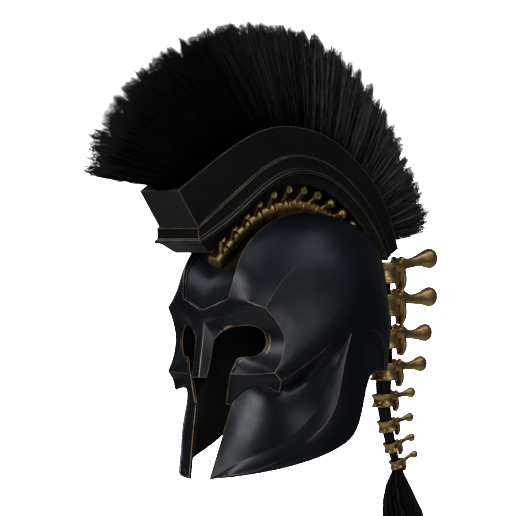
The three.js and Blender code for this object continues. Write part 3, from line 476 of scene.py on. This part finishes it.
# Blade: thicknesses behind the arch, lengths up from the body's middle, radius in thicknesses.
BLADE = [(0, 0.42, 1.1), (0.8, -0.1, 1.0), (0.85, -0.5, 0.95), (0.5, -0.84, 0.6)]
# Pedicle: radii across and along, lengths up, radius in thicknesses.
PEDICLE = [(0.55, 0.62, 0.16, 0.95), (0.34, 0.95, 0.32, 0.72), (0.12, 1.28, 0.42, 0.95)]
# Horn: radii across, then along and up from the arch, and radius, in thicknesses.
HORN = [(0.16, 0, 0, 0.8), (0.30, -0.1, 0.9, 0.75), (0.34, -0.3, 1.3, 0.5)]
SPINE_FLAT, BLADE_FLAT = 0.74, 1.5   # width across, as a share of thickness
# Voxel sizes, the body radius above which the large one is used, and rounds of softening.
CASTING = {"large": 1.15, "small": 0.75, "large_above": 15, "rounds": 4}


def add_rings(bm, rings, hoop=False):
    """Closes rings of equally many points into a solid, with flat ends or as a hoop."""
    verts = [[bm.verts.new(place) for place in ring] for ring in rings]
    pairs = list(zip(verts, verts[1:])) + ([(verts[-1], verts[0])] if hoop else [])
    for low, high in pairs:
        for j in range(len(low)):
            k = (j + 1) % len(low)
            bm.faces.new((low[j], low[k], high[k], high[j]))
    if not hoop:
        bm.faces.new(verts[0][::-1])
        bm.faces.new(verts[-1])


def add_limb(bm, rows, flat=1.0, sides=16, steps=5):
    """A round limb through rows of (across, along, up, radius), its width across times flat."""
    fine = curve_through(rows, steps)
    way = np.gradient(fine[:, :3], axis=0)
    way /= np.linalg.norm(way, axis=1, keepdims=True)
    side = np.array([1.0, 0, 0]) if abs(way[0, 0]) < SIDEWAYS else np.array([0, 1.0, 0])
    up = np.cross(way, side)
    up /= np.linalg.norm(up, axis=1, keepdims=True)
    across = np.cross(up, way)
    turn = 2 * np.pi * np.arange(sides) / sides
    rings = [
        place[:3] + place[3] * (flat * np.cos(turn)[:, None] * a + np.sin(turn)[:, None] * u)
        for place, a, u in zip(fine, across, up)
    ]
    add_rings(bm, rings)


def add_body(bm, radius, length, core, waist, lean, sides=40):
    """A body with a rolled rim at each end that leans back; core is its bore, waist its middle."""
    half = length / 2
    lip = LIP * radius
    top, foot, below = (half - drop * lip for drop in RIM_DROPS)
    upper = [(radius - lip, half), (radius, top), (radius, foot),
             ((WAIST_START[0] + WAIST_START[1] * waist) * radius, below),
             (waist * radius, WAIST_HALF * half)]
    profile = [(core, half)] + upper + [(r, -z) for r, z in reversed(upper)] + [(core, -half)]
    turn = 2 * np.pi * np.arange(sides) / sides
    swing = Matrix.Rotation(lean, 3, "X")
    rings = [[swing @ Vector((r * math.cos(t), r * math.sin(t), z)) for t in turn]
             for r, z in profile]
    add_rings(bm, rings, hoop=True)


def cast(name, bm, voxel, rounds, centre, node):
    """Overlapping solids, in millimetres from a centre, fused into one skin with soft corners."""
    for vert in bm.verts:
        vert.co = placed(*(Vector(centre) + vert.co))
    bmesh.ops.recalc_face_normals(bm, faces=bm.faces)
    mesh = bpy.data.meshes.new(name)
    bm.to_mesh(mesh)
    bm.free()
    piece = add_object(name, mesh, BRASS, "antique_brass", node)
    fusing = piece.modifiers.new("fusing", "REMESH")
    fusing.mode = "VOXEL"
    fusing.voxel_size = voxel * MM
    fusing.use_smooth_shade = True
    softening = piece.modifiers.new("softening", "SMOOTH")
    softening.factor = SOFTENING
    softening.iterations = rounds


def back_vertebra(i):
    """A hanging vertebra: ring body, pedicles, horns, a long spine with a knob, and its blade."""
    row = BACK[i]
    above, below = BACK[max(0, i - 1)], BACK[min(len(BACK) - 1, i + 1)]
    lean = -math.atan2(above["y"] - below["y"], above["z"] - below["z"])
    radius, length, knob = row["radius"], row["length"], row["knob"]
    reach, lift = row["knob_y"] - row["y"], row["knob_z"] - row["z"]
    thick = THICKNESS["radius"] * radius + THICKNESS["knob"] * knob
    arch_y, arch_z = ARCH["out"] * radius, ARCH["up"] * length
    bm = bmesh.new()
    add_body(bm, radius, length, row["core"], BACK_WAIST, lean)
    root = [(0, arch_y + y * thick, arch_z + z * thick, r * thick) for y, z, r in SPINE_ROOT]
    neck = (0, SPINE_NECK["way"] * reach, SPINE_NECK["way"] * lift + SPINE_NECK["rise"] * arch_z,
            SPINE_NECK["knob"] * knob)
    tip = [(0, reach + y * knob, lift + z * knob, r * knob) for y, z, r in SPINE_KNOB]
    add_limb(bm, [*root, neck, *tip], flat=SPINE_FLAT)
    blade = [(0, arch_y + y * thick, z * length, r * thick) for y, z, r in BLADE]
    add_limb(bm, blade, flat=BLADE_FLAT)
    for side in (-1, 1):
        add_limb(bm, [
            (side * x * radius, y * radius, z * length, r * thick) for x, y, z, r in PEDICLE
        ])
        add_limb(bm, [
            (side * x * radius, arch_y + y * thick, arch_z + z * thick, r * thick)
            for x, y, z, r in HORN
        ])
    voxel = CASTING["large" if radius > CASTING["large_above"] else "small"]
    name = f"back_vertebra_{i + 1:02d}"
    cast(f"{name}_cast", bm, voxel, CASTING["rounds"], (0, row["y"], row["z"]), name)


for i in range(len(BACK)):
    back_vertebra(i)

# Vertebrae over the crown, front to rear: body centres as (along, up) in millimetres.
CROWN = [
    (-102, 248), (-86, 263.5), (-69.5, 277.5), (-51.5, 289), (-32, 297.5), (-11.5, 303),
    (10, 305.3), (31, 304.3), (51, 299.8), (69.5, 291.3), (86, 279.5), (100.5, 265.5),
    (113, 249.5), (122.5, 232.5),
]
CROWN_BODY = {"radius": 9.1, "gap": 1.5, "bore": 1.2, "waist": 0.93, "sides": 28}
CROWN_RIDGES = [(0.72, 0.4), (-0.52, 0.72)]   # on top of a body and under it: height, thickness
CROWN_RIDGE_HALF = 0.46      # half a ridge, as a share of the body's length
CROWN_LEAN = 0.35            # how far the processes lean back for each unit that they rise
CROWN_ARM = {"out": 16, "root": 3.6, "stem": 3.2, "front": 3.8, "rear": 6.4, "sides": 12}
CROWN_ROOT = 0.4             # a process starts this share of the radius out and up
CROWN_STEM = 0.62            # and is at its stem this share of the way
CROWN_KNOB = [(-0.3, 1.0), (0.3, 0.96), (0.8, 0.4)]   # in knobs: out from its middle, and radius
CROWN_CASTING = {"voxel": 0.85, "rounds": 2}


def crown_vertebra(i):
    """A vertebra of the crown: a waisted body, and two processes that rise to knobs above it.

    The rise is measured on the CAD node, so that the knobs end where its knobs do.
    """
    centre = Vector((0, *CROWN[i]))
    ahead = Vector((0, *CROWN[max(0, i - 1)]))
    behind = Vector((0, *CROWN[min(len(CROWN) - 1, i + 1)]))
    way = (behind - ahead).normalized()
    normal = Vector((0, -way.z, way.y))
    neighbour = Vector((0, *CROWN[1 if i == 0 else i - 1]))
    radius, out = CROWN_BODY["radius"], CROWN_ARM["out"]
    length = (centre - neighbour).length - CROWN_BODY["gap"]
    name = f"crown_vertebra_{i + 1:02d}"
    knob = CROWN_ARM["front"] + (CROWN_ARM["rear"] - CROWN_ARM["front"]) * i / (len(CROWN) - 1)
    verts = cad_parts[name].data.vertices
    top = max((vert.co - placed(*centre)).dot(normal) for vert in verts) / MM - knob
    bm = bmesh.new()
    lean = math.atan2(-way.y, way.z)
    add_body(bm, radius, length, CROWN_BODY["bore"], CROWN_BODY["waist"], lean, CROWN_BODY["sides"])

    def place(x, up, thick):
        where = normal * up + way * (CROWN_LEAN * up)
        return (x, where.y, where.z, thick)

    for up, thick in CROWN_RIDGES:
        ends = [way * (share * length) + normal * (up * radius)
                for share in (-CROWN_RIDGE_HALF, CROWN_RIDGE_HALF)]
        add_limb(bm, [(*end, thick * radius) for end in ends])
    for side in (-1, 1):
        add_limb(bm, [
            place(side * CROWN_ROOT * radius, CROWN_ROOT * radius, CROWN_ARM["root"]),
            place(side * CROWN_STEM * out, CROWN_STEM * top, CROWN_ARM["stem"]),
            *(place(side * (out + x * knob), top, r * knob) for x, r in CROWN_KNOB),
        ], sides=CROWN_ARM["sides"])
    cast(f"{name}_cast", bm, CROWN_CASTING["voxel"], CROWN_CASTING["rounds"], centre, name)


for i in range(len(CROWN)):
    crown_vertebra(i)

# ---------------------------------------------------------------- hair
# The crest holder's rim and the outline of the hair's tips, front to rear, as (along, up) in mm.
RIM = [
    (-194, 321), (-117, 367), (-60, 391), (-9, 394.5), (45, 383), (84, 360), (117, 334),
    (142, 300), (160, 257),
]
TIPS = [
    (-304, 338), (-299, 370), (-281, 405), (-249, 440), (-210, 467), (-170, 488), (-130, 503),
    (-89, 512), (-50, 514), (-13, 513), (25, 507), (62, 495), (93, 477), (122, 454), (152, 421),
    (174, 392), (197, 353), (213, 325), (223, 299), (219, 276),
]
PLUME = {"pieces": 4, "strands": 8000, "rings": 3, "sunk": 16 * MM, "radius": 0.35 * MM}
ROOTS = (0.03, 0.94)         # where on the rim the hair starts, and how much of the rim it covers
TROUGH_HALF = (18.5, 15.5)   # half the width that the hair grows over, front and rear, in mm
STRAND = {"swing": 0.008, "spread": 1.15, "reach": (0.88, 1.045), "wander": 2.0 * MM}
TUFTS = {"along": 76, "across": 6, "swing": 0.010, "half": 19 * MM, "reach": (0.97, 1.06),
         "gather": (0.25, 0.85), "near": (900, 2)}   # near: weights of a distance along and across
RING_POWER = 0.85            # below 1 puts a strand's rings nearer to its tip
GATHER_POWER = 2.2           # above 1 bends a strand towards its tuft late
# painted light: the plume's hair is painted paler towards the nape, where light falls on it
PAINTED_NAPE_LIGHT = {"least": 0.05, "gain": 0.75, "from": 0.3, "over": 0.35}   # paleness along the crest
TONE_POWER = 2               # above 1 leaves more strands dark
ROOT_TONE = 0.35             # a strand's tone at its root, as a share of that at its tip
STRAND_RADII = (0.7, 1.25)   # thinnest and thickest strand, as shares of the radius given
DRAWN = 0.75                 # share of its radius that a strand loses before its point


def outline(points):
    """A smooth line through (along, up) points as a function of its share of length."""
    fine = curve_through([placed(0, y, z) for y, z in points])
    share = run_of(fine) / run_of(fine)[-1]
    return lambda t: np.stack([np.interp(t, share, fine[:, k]) for k in range(3)], axis=-1)


rim_at = outline(RIM)
tips_at = outline(TIPS)


def strand_mesh(name, paths, radii, paleness):
    """Three-sided strands that end in a point, along paths of (strand, ring, xyz).

    Paleness, one number or one for each strand, is the palest tone that a strand's tip can have.
    """
    count, rings = paths.shape[:2]
    way = np.gradient(paths, axis=1)
    way /= np.linalg.norm(way, axis=2, keepdims=True) + TINY
    side = np.cross(way, rng.normal(size=(count, 1, 3)))
    side /= np.linalg.norm(side, axis=2, keepdims=True) + TINY
    up = np.cross(way, side)
    turns = 2 * np.pi * np.arange(3) / 3
    out = np.cos(turns)[:, None] * side[:, :-1, None] + np.sin(turns)[:, None] * up[:, :-1, None]
    body = paths[:, :-1, None] + radii[:, :-1, None, None] * out
    points = np.concatenate([body.reshape(count, -1, 3), paths[:, -1:]], axis=1)
    size = points.shape[1]
    faces = [(2, 1, 0)]
    for k in range(rings - 2):
        for j in range(3):
            a, b = 3 * k + j, 3 * k + (j + 1) % 3
            faces += [(a, b, b + 3), (a, b + 3, a + 3)]
    last = 3 * (rings - 2)
    faces += [(last + j, last + (j + 1) % 3, size - 1) for j in range(3)]
    triangles = np.array(faces)[None] + size * np.arange(count)[:, None, None]
    mesh = mesh_of_arrays(name, points.reshape(-1, 3), triangles.reshape(-1, 3))
    tone = mesh.attributes.new("tone", "FLOAT", "POINT")
    own = (paleness * rng.random(count) ** TONE_POWER)[:, None]
    reach = np.concatenate([np.repeat(np.linspace(0, 1, rings - 1), 3), [1]])[None]
    tones = own * (ROOT_TONE + (1 - ROOT_TONE) * reach)
    tone.data.foreach_set("value", tones.astype(np.float32).ravel())
    return mesh


def taper(count, rings, radius):
    """Radius along each strand: full for most of its length, then drawn out."""
    s = np.linspace(0, 1, rings + 1)
    return radius * rng.uniform(*STRAND_RADII, (count, 1)) * (1 - DRAWN * s ** 2)


def from_root(root, tip, reach):
    """The tip moved along the line from its root, to a share of the way."""
    return root + (tip - root) * reach[:, None]


def tuft_tips():
    """(share of the crest, place across from -1 to 1, tip) of the tufts that gather the plume."""
    count = TUFTS["along"] * TUFTS["across"]
    order = np.arange(count)
    t = (order // TUFTS["across"] + rng.random(count)) / TUFTS["along"]
    x = (order % TUFTS["across"] + rng.random(count)) / TUFTS["across"] * 2 - 1
    reach = rng.uniform(*TUFTS["reach"], count)
    tip = tips_at(np.clip(t + rng.normal(0, TUFTS["swing"], count), 0, 1))
    tip[:, 0] = x * TUFTS["half"]
    return t, x, from_root(rim_at(ROOTS[0] + ROOTS[1] * t), tip, reach)


def plume_paths(count, band):
    """(paths, paleness) of strands that fan out from the trough and gather into pointed tufts.

    They grow in a band of the crest, given as (first, last) share of its length, and the hair is
    painted paler towards the nape, as painted light on it.
    """
    tuft_t, tuft_x, tuft_tip = tuft_tips()
    t = rng.uniform(*band, count)
    x = rng.uniform(-1, 1, count)
    along, across = TUFTS["near"]
    far = (t[:, None] - tuft_t) ** 2 * along + (x[:, None] - tuft_x) ** 2 * across
    half = np.interp(t, [0, 1], TROUGH_HALF) * MM
    root = rim_at(ROOTS[0] + ROOTS[1] * t)
    root[:, 0] = x * half
    tip = tips_at(np.clip(t + rng.normal(0, STRAND["swing"], count), 0, 1))
    tip[:, 0] = x * half * STRAND["spread"]
    tip = from_root(root, tip, rng.uniform(*STRAND["reach"], count))
    gather = rng.uniform(*TUFTS["gather"], count)[:, None]
    goal = tip + (tuft_tip[np.argmin(far, axis=1)] - tip) * gather
    outward = (goal - root) / np.linalg.norm(goal - root, axis=1, keepdims=True)
    start = root - outward * PLUME["sunk"]
    s = np.linspace(0, 1, PLUME["rings"] + 1)[None, :, None] ** RING_POWER
    straight = start[:, None] + (tip - start)[:, None] * s
    gathered = (goal - tip)[:, None] * s ** GATHER_POWER
    wander = rng.normal(0, STRAND["wander"], (count, 1, 3)) * np.sin(np.pi * s)
    # painted light: the hair grows paler towards the nape
    nape_lit = np.clip((t - PAINTED_NAPE_LIGHT["from"]) / PAINTED_NAPE_LIGHT["over"], 0, 1)
    return straight + gathered + wander, PAINTED_NAPE_LIGHT["least"] + PAINTED_NAPE_LIGHT["gain"] * nape_lit


for part in range(PLUME["pieces"]):
    band = (part / PLUME["pieces"], (part + 1) / PLUME["pieces"])
    paths, paleness = plume_paths(PLUME["strands"], band)
    radii = taper(len(paths), PLUME["rings"], PLUME["radius"])
    name = f"plume_hair_{part + 1}"
    mesh = strand_mesh(name, paths, radii, paleness)
    add_object(name, mesh, HAIR, "horsehair", "crest_plume")

# The bundle of hair that the hanging vertebrae are strung on, and the tassel below them, as rows of
# (along, up, radius) in millimetres.
TAIL = [
    (153.5, 241.5, 10.5), (154, 229.5, 10.5), (154, 192.5, 10.5), (157, 154, 10),
    (158.5, 116.5, 9.5), (157, 84, 8), (163, 55, 7), (170.5, 31, 5.8), (178.5, 11, 4.8),
    (180.5, 5, 4.6),
]
TASSEL = [
    (180.5, 6, 4.6), (181, -10, 12.5), (183, -26, 18), (189, -44, 23), (193, -70, 25),
    (196, -96, 20), (197, -126, 13),
]
ROW_STEPS = 6                # points of a bundle's line from one row to the next
TWIST = 0.5                  # turn of a strand round its bundle from end to end, in radians
RAGGED_POWER = 1.5           # above 1 leaves more strands long
BUNDLE_PALENESS = 0.3


def bundle(name, rows, count, rings, radius, inner, ragged, node):
    """Strands along a round bundle with rows of (along, up, radius).

    Inner is the share of its cross-section that stays bare, and ragged how much of its length the
    shortest strand lacks.
    """
    rows = curve_through(np.array(rows) * MM, ROW_STEPS)
    share = run_of(rows[:, :2]) / run_of(rows[:, :2])[-1]
    turn = rng.uniform(0, 2 * np.pi, count)[:, None]
    out = np.sqrt(rng.uniform(inner, 1, count))[:, None]
    length = 1 - ragged * rng.random(count)[:, None] ** RAGGED_POWER
    s = np.linspace(0, 1, rings + 1)[None] * length
    angle = turn + TWIST * s
    wide = np.interp(s, share, rows[:, 2]) * out
    x = wide * np.cos(angle)
    y = np.interp(s, share, rows[:, 0]) + wide * np.sin(angle)
    z = np.interp(s, share, rows[:, 1]) - SEAT_HEIGHT
    paths = np.stack([x, y, z], axis=2)
    mesh = strand_mesh(name, paths, taper(count, rings, radius), BUNDLE_PALENESS)
    add_object(name, mesh, HAIR, "horsehair", node)


bundle("tail_hair", TAIL, count=260, rings=12, radius=0.9 * MM, inner=0.6, ragged=0.0,
       node="tail_core")
bundle("tassel_hair", TASSEL, count=1800, rings=6, radius=0.5 * MM, inner=0.2, ragged=0.35,
       node="tail_tassel")

# ---------------------------------------------------------------- floor, light and camera
AZIMUTH = math.radians(46)
TARGET = placed(0, -41.4, 246.5)
FIELD = 0.5797               # width that the camera sees at the helmet
LENS = 500
SENSOR = 36
TOWARD = Vector((math.sin(AZIMUTH), -math.cos(AZIMUTH), 0))
RIGHT = Vector((math.cos(AZIMUTH), math.sin(AZIMUTH), 0))
UP = Vector((0, 0, 1))
FLOOR_DROP = 0.60            # floor below the tassel's tip
FLOOR_HALF = 1.6             # half its width
PAPER = (0.82, 0.82, 0.81)
PAPER_ROUGH = (30, 3), (0.3, 0.7, 0.78, 0.86)
PAPER_GRAIN = (400, 3), 0.05, 0.1 * MM
WHITE, COOL = (1, 1, 1), (0.82, 0.91, 1.0)
BACKDROP = WHITE, 6.0        # colour and strength of what the camera sees behind the helmet
ROOM = (0.85, 0.9, 1.0), 0.04   # and of what the helmet sees round it

# Soft boxes: way from the helmet as (toward the camera, right, up), then distance, width, height,
# watts and colour.
LIGHTS = {
    "key_left": ((0.80, -0.52, 0.25), 1.8, 1.0, 0.5, 10, WHITE),
    "near_right": ((0.66, 0.72, 0.13), 1.9, 0.5, 0.25, 2.6, WHITE),
    "upper_front": ((0.52, 0.02, 0.85), 1.5, 0.8, 0.8, 2.2, COOL),
    "upper_right": ((0.25, 0.68, 0.65), 1.6, 0.9, 0.6, 2.2, COOL),
    "left_up": ((-0.20, -0.87, 0.48), 1.5, 0.6, 0.6, 2.0, COOL),
    "rim_left": ((-0.97, -0.25, 0.1), 1.8, 0.4, 1.2, 3, WHITE),
}


def look(obj, place, at):
    """Places an object and turns its -Z axis to a point."""
    obj.location = place
    obj.rotation_euler = (at - place).to_track_quat("-Z", "Y").to_euler()


def softbox(name, way, distance, width, height, watts, colour):
    """A rectangular light that faces the helmet."""
    light = bpy.data.lights.new(name, "AREA")
    light.shape = "RECTANGLE"
    light.size, light.size_y = width, height
    light.energy = watts
    light.color = colour
    obj = bpy.data.objects.new(name, light)
    bpy.context.scene.collection.objects.link(obj)
    toward, right, up = Vector(way).normalized() * distance
    look(obj, TARGET + TOWARD * toward + RIGHT * right + UP * up, TARGET)


def background(node, colour, strength):
    """Sets a background's colour and strength, and gives its output."""
    node.inputs["Color"].default_value = (*colour, 1)
    node.inputs["Strength"].default_value = strength
    return node.outputs["Background"]


def studio():
    """A white backdrop behind the helmet, in a dim room with soft boxes."""
    world = bpy.data.worlds.new("studio")
    bpy.context.scene.world = world
    world.use_nodes = True
    tree = world.node_tree
    backdrop = background(tree.nodes["Background"], *BACKDROP)
    room = background(tree.nodes.new("ShaderNodeBackground"), *ROOM)
    path = tree.nodes.new("ShaderNodeLightPath")
    blend = tree.nodes.new("ShaderNodeMixShader")
    tree.links.new(path.outputs["Is Camera Ray"], blend.inputs["Fac"])
    tree.links.new(room, blend.inputs[1])
    tree.links.new(backdrop, blend.inputs[2])
    tree.links.new(blend.outputs["Shader"], tree.nodes["World Output"].inputs["Surface"])
    for name, light in LIGHTS.items():
        softbox(name, *light)


def floor():
    """A plain pale floor well below the helmet, which is held up as a head holds it."""
    low = CAD_BOX[0][2] - FLOOR_DROP
    signs = ((-1, -1), (1, -1), (1, 1), (-1, 1))
    corners = [(x * FLOOR_HALF, y * FLOOR_HALF, low) for x, y in signs]
    mesh = bpy.data.meshes.new("floor")
    mesh.from_pydata(corners, [], [(0, 1, 2, 3)])
    n = Nodes("floor_paper")
    n.finish((*PAPER, 1), 0.0, n.pattern(*PAPER_ROUGH), n.relief(*PAPER_GRAIN))
    mesh.materials.append(n.material)
    obj = bpy.data.objects.new("floor", mesh)
    bpy.context.scene.collection.objects.link(obj)


def camera():
    """A level camera with a long lens."""
    data = bpy.data.cameras.new("camera")
    data.lens = LENS
    data.sensor_width = SENSOR
    obj = bpy.data.objects.new("camera", data)
    bpy.context.scene.collection.objects.link(obj)
    look(obj, TARGET + TOWARD * (FIELD * LENS / SENSOR), TARGET)
    bpy.context.scene.camera = obj


studio()
floor()
camera()
bpy.context.scene.view_settings.view_transform = "Standard"
